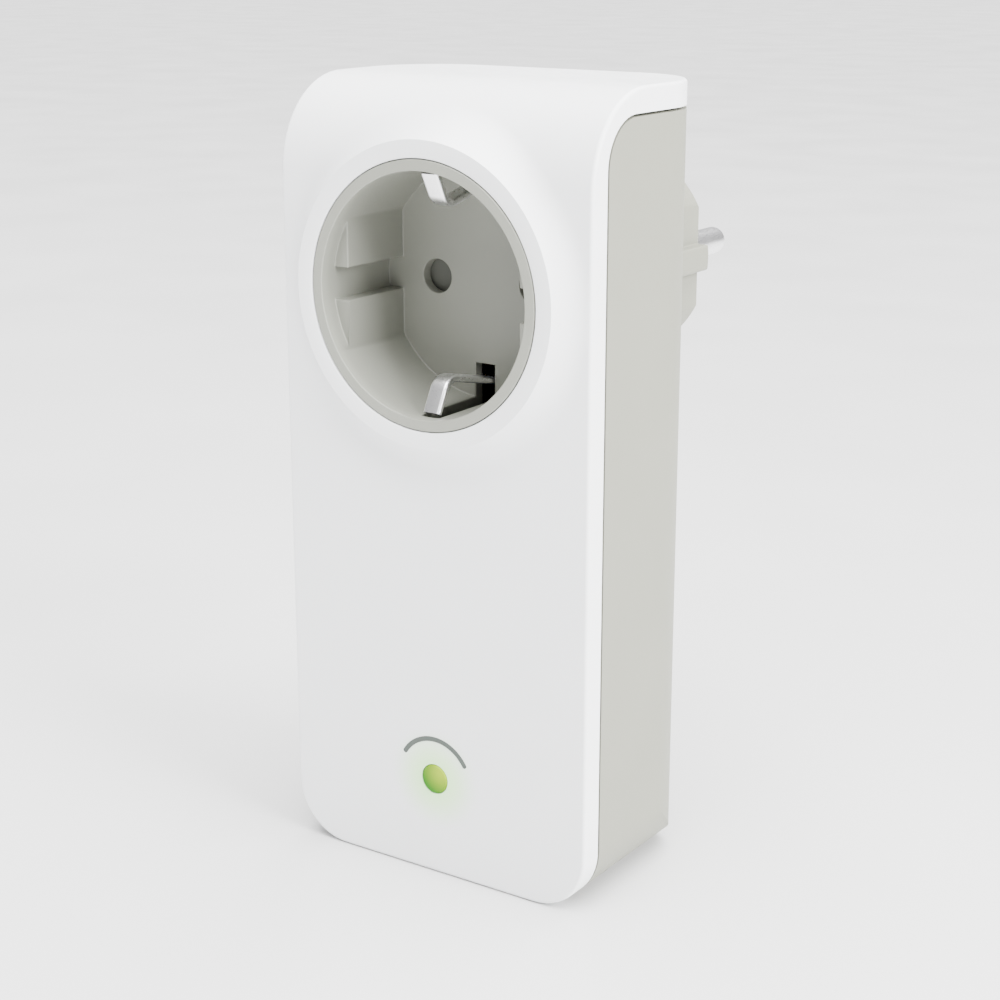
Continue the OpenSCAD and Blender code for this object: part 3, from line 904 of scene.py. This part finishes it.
@dataclass
class PlugPins:
    """Two turned pins with rounded tips; each part of a pin takes its share of the grid's length."""

    wardrobe: Wardrobe
    tip: float = 1.5
    sunk: float = 0.6
    tail_end: float = 0.05
    shank_end: float = 0.3
    round_end: float = 0.8

    def tree(self) -> Grower:
        """Builds the tree that turns one pin from a flat grid."""
        sizes = {"Radius": 0.0024, "Length": 0.019, "Tip": 0.0014, "Start": 0.0, "X": 0.0, "Z": 0.0}
        grower = Grower("turned_pin", sizes, self.wardrobe.materials["nickel"])
        given = grower.given.outputs
        grid = grower.add("GeometryNodeMeshGrid", None, Size_X=1.0, Size_Y=1.0, Vertices_X=44, Vertices_Y=65)
        place = grower.add("GeometryNodeInputPosition")
        parts = grower.add("ShaderNodeSeparateXYZ", None, Vector=place)
        along = grower.math("ADD", parts.outputs[0], 0.5)
        angle = grower.math("MULTIPLY", grower.math("ADD", parts.outputs[1], 0.5), 2 * math.pi)
        straight = grower.math("SUBTRACT", given["Length"], given["Tip"])
        body = grower.span(along, self.tail_end, self.shank_end, 0.0, straight)
        turn = grower.span(along, self.shank_end, self.round_end, 0.0, math.pi / 2)
        opening = grower.span(along, 0.0, self.tail_end, 0.0, 1.0)
        closing = grower.span(along, self.round_end, 1.0, 1.0, 0.0)
        core = grower.math("MULTIPLY", grower.math("SUBTRACT", given["Radius"], given["Tip"]), closing)
        rim = grower.math("MULTIPLY", given["Tip"], grower.math("COSINE", turn))
        radius = grower.math("MULTIPLY", grower.math("ADD", core, rim), opening)
        far = grower.math("ADD", body, grower.math("MULTIPLY", given["Tip"], grower.math("SINE", turn)))
        x = grower.math("ADD", given["X"], grower.math("MULTIPLY", radius, grower.math("COSINE", angle)))
        z = grower.math("ADD", given["Z"], grower.math("MULTIPLY", radius, grower.math("SINE", angle)))
        y = grower.math("ADD", given["Start"], far)
        moved = grower.add("ShaderNodeCombineXYZ", None, X=x, Y=y, Z=z)
        bent = grower.add("GeometryNodeSetPosition", None, Geometry=grid, Position=moved)
        closed = grower.add("GeometryNodeMergeByDistance", None, Geometry=bent, Distance=1e-6)
        grower.finish(closed)
        return grower

    def build(self) -> list[bpy.types.Object]:
        """Builds both pins."""
        grower = self.tree()
        pieces = []
        for node, side in (("line_pin", 1), ("neutral_pin", -1)):
            high = box_mm(node)[1]
            radius = MOUNTS["plug_pin_line"]["dims"]["r_mm"]
            sizes = {"Radius": radius, "Tip": self.tip, "Length": high[1] - PLUG_END_Y + self.sunk,
                     "Start": PLUG_END_Y - self.sunk, "X": side * POLE_X, "Z": AXIS_Z}
            piece = grower.grow(f"{node}.turned", {key: float(value) * MM for key, value in sizes.items()})
            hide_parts(node)
            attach(piece, "casing")
            pieces.append(piece)
        return pieces


@dataclass
class EarthClips:
    """Two pressed springs that follow a bent path: a tip at the wall, a round nose and a long tail."""

    wardrobe: Wardrobe
    width: float = 3.3
    thickness: float = 1.2
    fillet: float = 0.56
    tip: tuple[float, float] = (-18.3, 19.0)
    nose: tuple[float, float] = (-13.9, 16.9)
    nose_radius: float = 2.9
    tail: tuple[float, float] = (1.6, 17.4)

    def tree(self) -> Grower:
        """Builds the tree that sweeps a rounded section along the path."""
        grower = Grower("pressed_strip", {"Width": 0.003, "Thickness": 0.0009, "Fillet": 0.0003},
                        self.wardrobe.materials["nickel"])
        given = grower.given.outputs
        path = grower.add("GeometryNodeMeshToCurve", None, Mesh=given[0])
        section = grower.add("GeometryNodeCurvePrimitiveQuadrilateral", {"mode": "RECTANGLE"},
                             Width=given["Width"], Height=given["Thickness"])
        rounded = grower.add("GeometryNodeFilletCurve", {"mode": "POLY"}, Curve=section, Count=6,
                             Radius=given["Fillet"])
        swept = grower.add("GeometryNodeCurveToMesh", None, Curve=path, Profile_Curve=rounded, Fill_Caps=True)
        grower.finish(swept)
        return grower

    def touch(self, end: np.ndarray, turn: int) -> float:
        """Finds where a straight line from an end of the spring touches the nose's circle.

        Args:
            end: The end of the spring.
            turn: 1 or -1 for the side of the circle.

        Returns:
            The angle of the touching point.
        """
        away = end - np.array(self.nose)
        return math.atan2(away[1], away[0]) + turn * math.acos(self.nose_radius / float(np.hypot(*away)))

    def path(self, side: int) -> list[Point]:
        """Gives the spring's middle line, for the upper side 1 or the lower side -1."""
        nose, tip, tail = np.array(self.nose), np.array(self.tip), np.array(self.tail)
        start, end = self.touch(tip, 1), self.touch(tail, -1) + 2 * math.pi
        bend = [nose + self.nose_radius * np.array([math.cos(a), math.sin(a)])
                for a in np.linspace(start, end, 20)]
        line = [tip, tip + (bend[0] - tip) * 0.5, *bend]
        line += [bend[-1] + (tail - bend[-1]) * share for share in (0.25, 0.5, 0.75, 1)]
        return [(0, float(point[0]), AXIS_Z + side * float(point[1])) for point in line]

    def build(self) -> list[bpy.types.Object]:
        """Builds both springs, each on its own body."""
        grower = self.tree()
        sizes = {"Width": self.width * MM, "Thickness": self.thickness * MM, "Fillet": self.fillet * MM}
        pieces = []
        for node, side, body in (("earth_clip_top", 1, "earth_clip_upper"),
                                 ("earth_clip_bottom", -1, "earth_clip_lower")):
            piece = grower.grow(f"{node}.pressed", sizes, path_mesh(node + ".path", self.path(side)))
            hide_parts(node)
            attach(piece, body)
            pieces.append(piece)
        return pieces


@dataclass
class ChokeWindings:
    """Turns of enamelled wire round the ring core of the filter choke."""

    wardrobe: Wardrobe
    wire: float = 0.42
    turns: int = 15
    core_hole: float = 5.4
    sweep: float = 110
    starts: tuple[float, float] = (35, 215)

    def build(self) -> bpy.types.Object:
        """Builds both windings as one piece."""
        low, high = box_mm("filter_choke_core")
        centre = (low + high) / 2
        outer = (high[0] - low[0]) / 2
        inner = self.core_hole
        tall = (high[1] - low[1]) / 2
        grower = Grower("winding", {"Wire": 0.0004, "Ring": 0.007, "Turns": 15},
                        self.wardrobe.materials["copper_wire"])
        given = grower.given.outputs
        section = grower.add("GeometryNodeCurvePrimitiveQuadrilateral", {"mode": "RECTANGLE"},
                             Width=(outer - inner + 2 * self.wire) * MM,
                             Height=(2 * tall + 2 * self.wire) * MM)
        turn = grower.add("GeometryNodeFilletCurve", {"mode": "POLY"}, Curve=section, Count=3,
                          Radius=0.6 * MM)
        bead = grower.add("GeometryNodeCurvePrimitiveCircle", None, Resolution=8, Radius=given["Wire"])
        loop = grower.add("GeometryNodeCurveToMesh", None, Curve=turn, Profile_Curve=bead)
        joined = grower.add("GeometryNodeJoinGeometry")
        for start in self.starts:
            arc = grower.add("GeometryNodeCurveArc", None, Resolution=64, Radius=given["Ring"],
                             Start_Angle=math.radians(start), Sweep_Angle=math.radians(self.sweep))
            points = grower.add("GeometryNodeCurveToPoints", None, Curve=arc, Count=given["Turns"])
            facing = grower.add("FunctionNodeAlignRotationToVector", {"axis": "Z"},
                                Vector=points.outputs["Tangent"])
            spots = grower.add("GeometryNodeInstanceOnPoints", None, Points=points, Instance=loop,
                               Rotation=facing)
            grower.tree.links.new(spots.outputs[0], joined.inputs[0])
        placed = grower.add("GeometryNodeTransform", None, Geometry=joined,
                            Translation=[float(value) * MM for value in centre],
                            Rotation=(math.pi / 2, 0, 0))
        grower.finish(placed)
        sizes = {"Wire": self.wire * MM, "Ring": float(outer + inner) / 2 * MM, "Turns": self.turns}
        piece = grower.grow("filter_choke_windings.wire", sizes)
        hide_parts("filter_choke_windings")
        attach(piece, "casing")
        return piece


@dataclass
class JackWires:
    """Eight spring wires side by side in the network jack."""

    wardrobe: Wardrobe
    pitch: float = 1.02
    wire: float = 0.2
    count: int = 8

    def build(self) -> bpy.types.Object:
        """Builds the wires as one piece."""
        low, high = box_mm("jack_contacts")
        grower = Grower("wire_row", {"Pitch": 0.001, "Wire": 0.0002, "Count": 8},
                        self.wardrobe.materials["gold_wire"])
        given = grower.given.outputs
        bead = grower.add("GeometryNodeCurvePrimitiveCircle", None, Resolution=12, Radius=given["Wire"])
        path = grower.add("GeometryNodeMeshToCurve", None, Mesh=given[0])
        wire = grower.add("GeometryNodeCurveToMesh", None, Curve=path, Profile_Curve=bead, Fill_Caps=True)
        step = grower.add("ShaderNodeCombineXYZ", None, X=given["Pitch"])
        row = grower.add("GeometryNodeMeshLine", None, Count=given["Count"], Offset=step)
        spots = grower.add("GeometryNodeInstanceOnPoints", None, Points=row, Instance=wire)
        grower.finish(spots)
        start_x = low[0] + self.wire
        rise, drop = (high[axis] - low[axis] - 2 * self.wire for axis in (1, 2))
        arch = [(start_x, low[1] + self.wire + rise * math.sin(turn * math.pi / 2),
                 high[2] - self.wire - drop * turn) for turn in np.linspace(0, 1, 9)]
        sizes = {"Pitch": self.pitch * MM, "Wire": self.wire * MM, "Count": self.count}
        piece = grower.grow("jack_contacts.wire", sizes, path_mesh("wire.path", arch))
        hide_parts("jack_contacts")
        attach(piece, "casing")
        return piece


# ---- Other pieces ----

# Width of the rounded edges in millimetres
ROUNDINGS = {
    "socket_insert": 0.2,
    "plug_body": 0.35,
    "earth_strap": 0.18,
    "shutter": 0.12,
    "status_button": 0.2,
    "reset_button": 0.15,
}


@dataclass
class SoftenedParts:
    """Socket, plug and keys that keep their CAD form, with the small roundings that moulds leave."""

    wardrobe: Wardrobe

    def build(self) -> list[bpy.types.Object]:
        """Builds each piece and lets it ride on its body.

        Returns:
            The pieces.
        """
        bodies = RECORD["behaviour"]["bodies"]
        body_of = {node: body for body, nodes in bodies.items() for node in nodes}
        pieces = []
        for node, width in ROUNDINGS.items():
            piece = softened(node, width)
            self.wardrobe.dress_piece(piece, self.wardrobe.slots[node])
            # The shutter is shown in the darker copy of its slot's grey: painted shade deep behind the holes
            if node == "shutter":
                piece.data.materials[0] = self.wardrobe.materials["shutter_shaded_grey"]
            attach(piece, body_of[node])
            pieces.append(piece)
        return pieces


# ---- Studio ----


@dataclass
class Studio:
    """Camera, floor and soft lights."""

    azimuth: float = 34.25
    elevation: float = 16.2
    distance: float = 311.07
    lens: float = 71.70
    target: Point = (13.14, -18.6, 67.61)
    floor_half: float = 4
    floor_gap: float = 0.1
    sun_spread: float = 70
    sky: float = 0.55

    def camera(self) -> None:
        """Sets the camera at the viewing angle."""
        data = bpy.data.cameras.new("camera")
        data.lens = self.lens
        data.sensor_width = 36
        data.clip_start, data.clip_end = 0.01, 20
        camera = bpy.data.objects.new("camera", data)
        a, e = math.radians(self.azimuth), math.radians(self.elevation)
        back = Vector((math.sin(a) * math.cos(e), -math.cos(a) * math.cos(e), math.sin(e)))
        camera.location = (Vector(self.target) + back * self.distance) * MM
        camera.rotation_euler = (-back).to_track_quat("-Z", "Y").to_euler()
        bpy.context.scene.collection.objects.link(camera)
        bpy.context.scene.camera = camera

    def floor(self) -> None:
        """Lays the pale floor."""
        shape = bmesh.new()
        bmesh.ops.create_grid(shape, x_segments=1, y_segments=1, size=self.floor_half)
        bmesh.ops.translate(shape, verts=shape.verts, vec=(0, 0, -self.floor_gap * MM))
        mesh = bpy.data.meshes.new("floor")
        shape.to_mesh(mesh)
        shape.free()
        floor = add_piece("floor", mesh)
        surface = Plastic("floor", (0.62, 0.62, 0.62), roughness=0.35, lobe=Lobe.PEEL, grain=60,
                          depth=0.001, clouding=0.003)
        mesh.materials.append(surface.build())

    def light(self, name: str, place: Point, size: float, power: float) -> None:
        """Hangs one square soft light that faces the object.

        Args:
            name: Name of the light.
            place: Its place in metres.
            size: Its side in metres.
            power: Its power in watts.
        """
        data = bpy.data.lights.new(name, "AREA")
        data.size = size
        data.energy = power
        lamp = bpy.data.objects.new(name, data)
        lamp.location = place
        aim = Vector((0, 0, 0.07)) - Vector(place)
        lamp.rotation_euler = aim.to_track_quat("-Z", "Y").to_euler()
        bpy.context.scene.collection.objects.link(lamp)

    def sun(self, towards: Point, strength: float) -> None:
        """Adds a wide even light from far away, which keeps the whole floor pale.

        Args:
            towards: Direction from the object to the light.
            strength: Its strength in watts per square metre.
        """
        data = bpy.data.lights.new("sky_panel", "SUN")
        data.energy = strength
        data.angle = math.radians(self.sun_spread)
        lamp = bpy.data.objects.new("sky_panel", data)
        lamp.rotation_euler = (-Vector(towards)).to_track_quat("-Z", "Y").to_euler()
        bpy.context.scene.collection.objects.link(lamp)

    def build(self) -> None:
        """Builds the studio."""
        self.camera()
        self.floor()
        self.light("key", (0.95, -0.12, 0.5), size=0.5, power=36)
        self.light("front", (0.15, -0.62, 1.1), size=0.7, power=20)
        self.sun(towards=(0.1, 0.15, 1.0), strength=13.0)
        world = bpy.data.worlds.new("world")
        world.use_nodes = True
        background = world.node_tree.nodes["Background"]
        background.inputs["Color"].default_value = (1, 1, 1, 1)
        background.inputs["Strength"].default_value = self.sky
        bpy.context.scene.world = world


def main() -> None:
    """Builds everything in order."""
    logging.basicConfig(level=logging.INFO, format="%(name)s: %(message)s")
    Studio().build()
    wardrobe = Wardrobe()
    for node in frame["nodes"]:
        wardrobe.dress_node(node)
    cover = FrontCover(wardrobe).build()
    LOG.info("%s has %d faces", cover.name, len(cover.data.polygons))
    pieces = SoftenedParts(wardrobe).build() + PlugPins(wardrobe).build() + EarthClips(wardrobe).build()
    pieces += [ChokeWindings(wardrobe).build(), JackWires(wardrobe).build()]
    for piece in pieces:
        LOG.info("%s has %d faces", piece.name, len(piece.data.polygons))


if __name__ == "__main__":
    main()
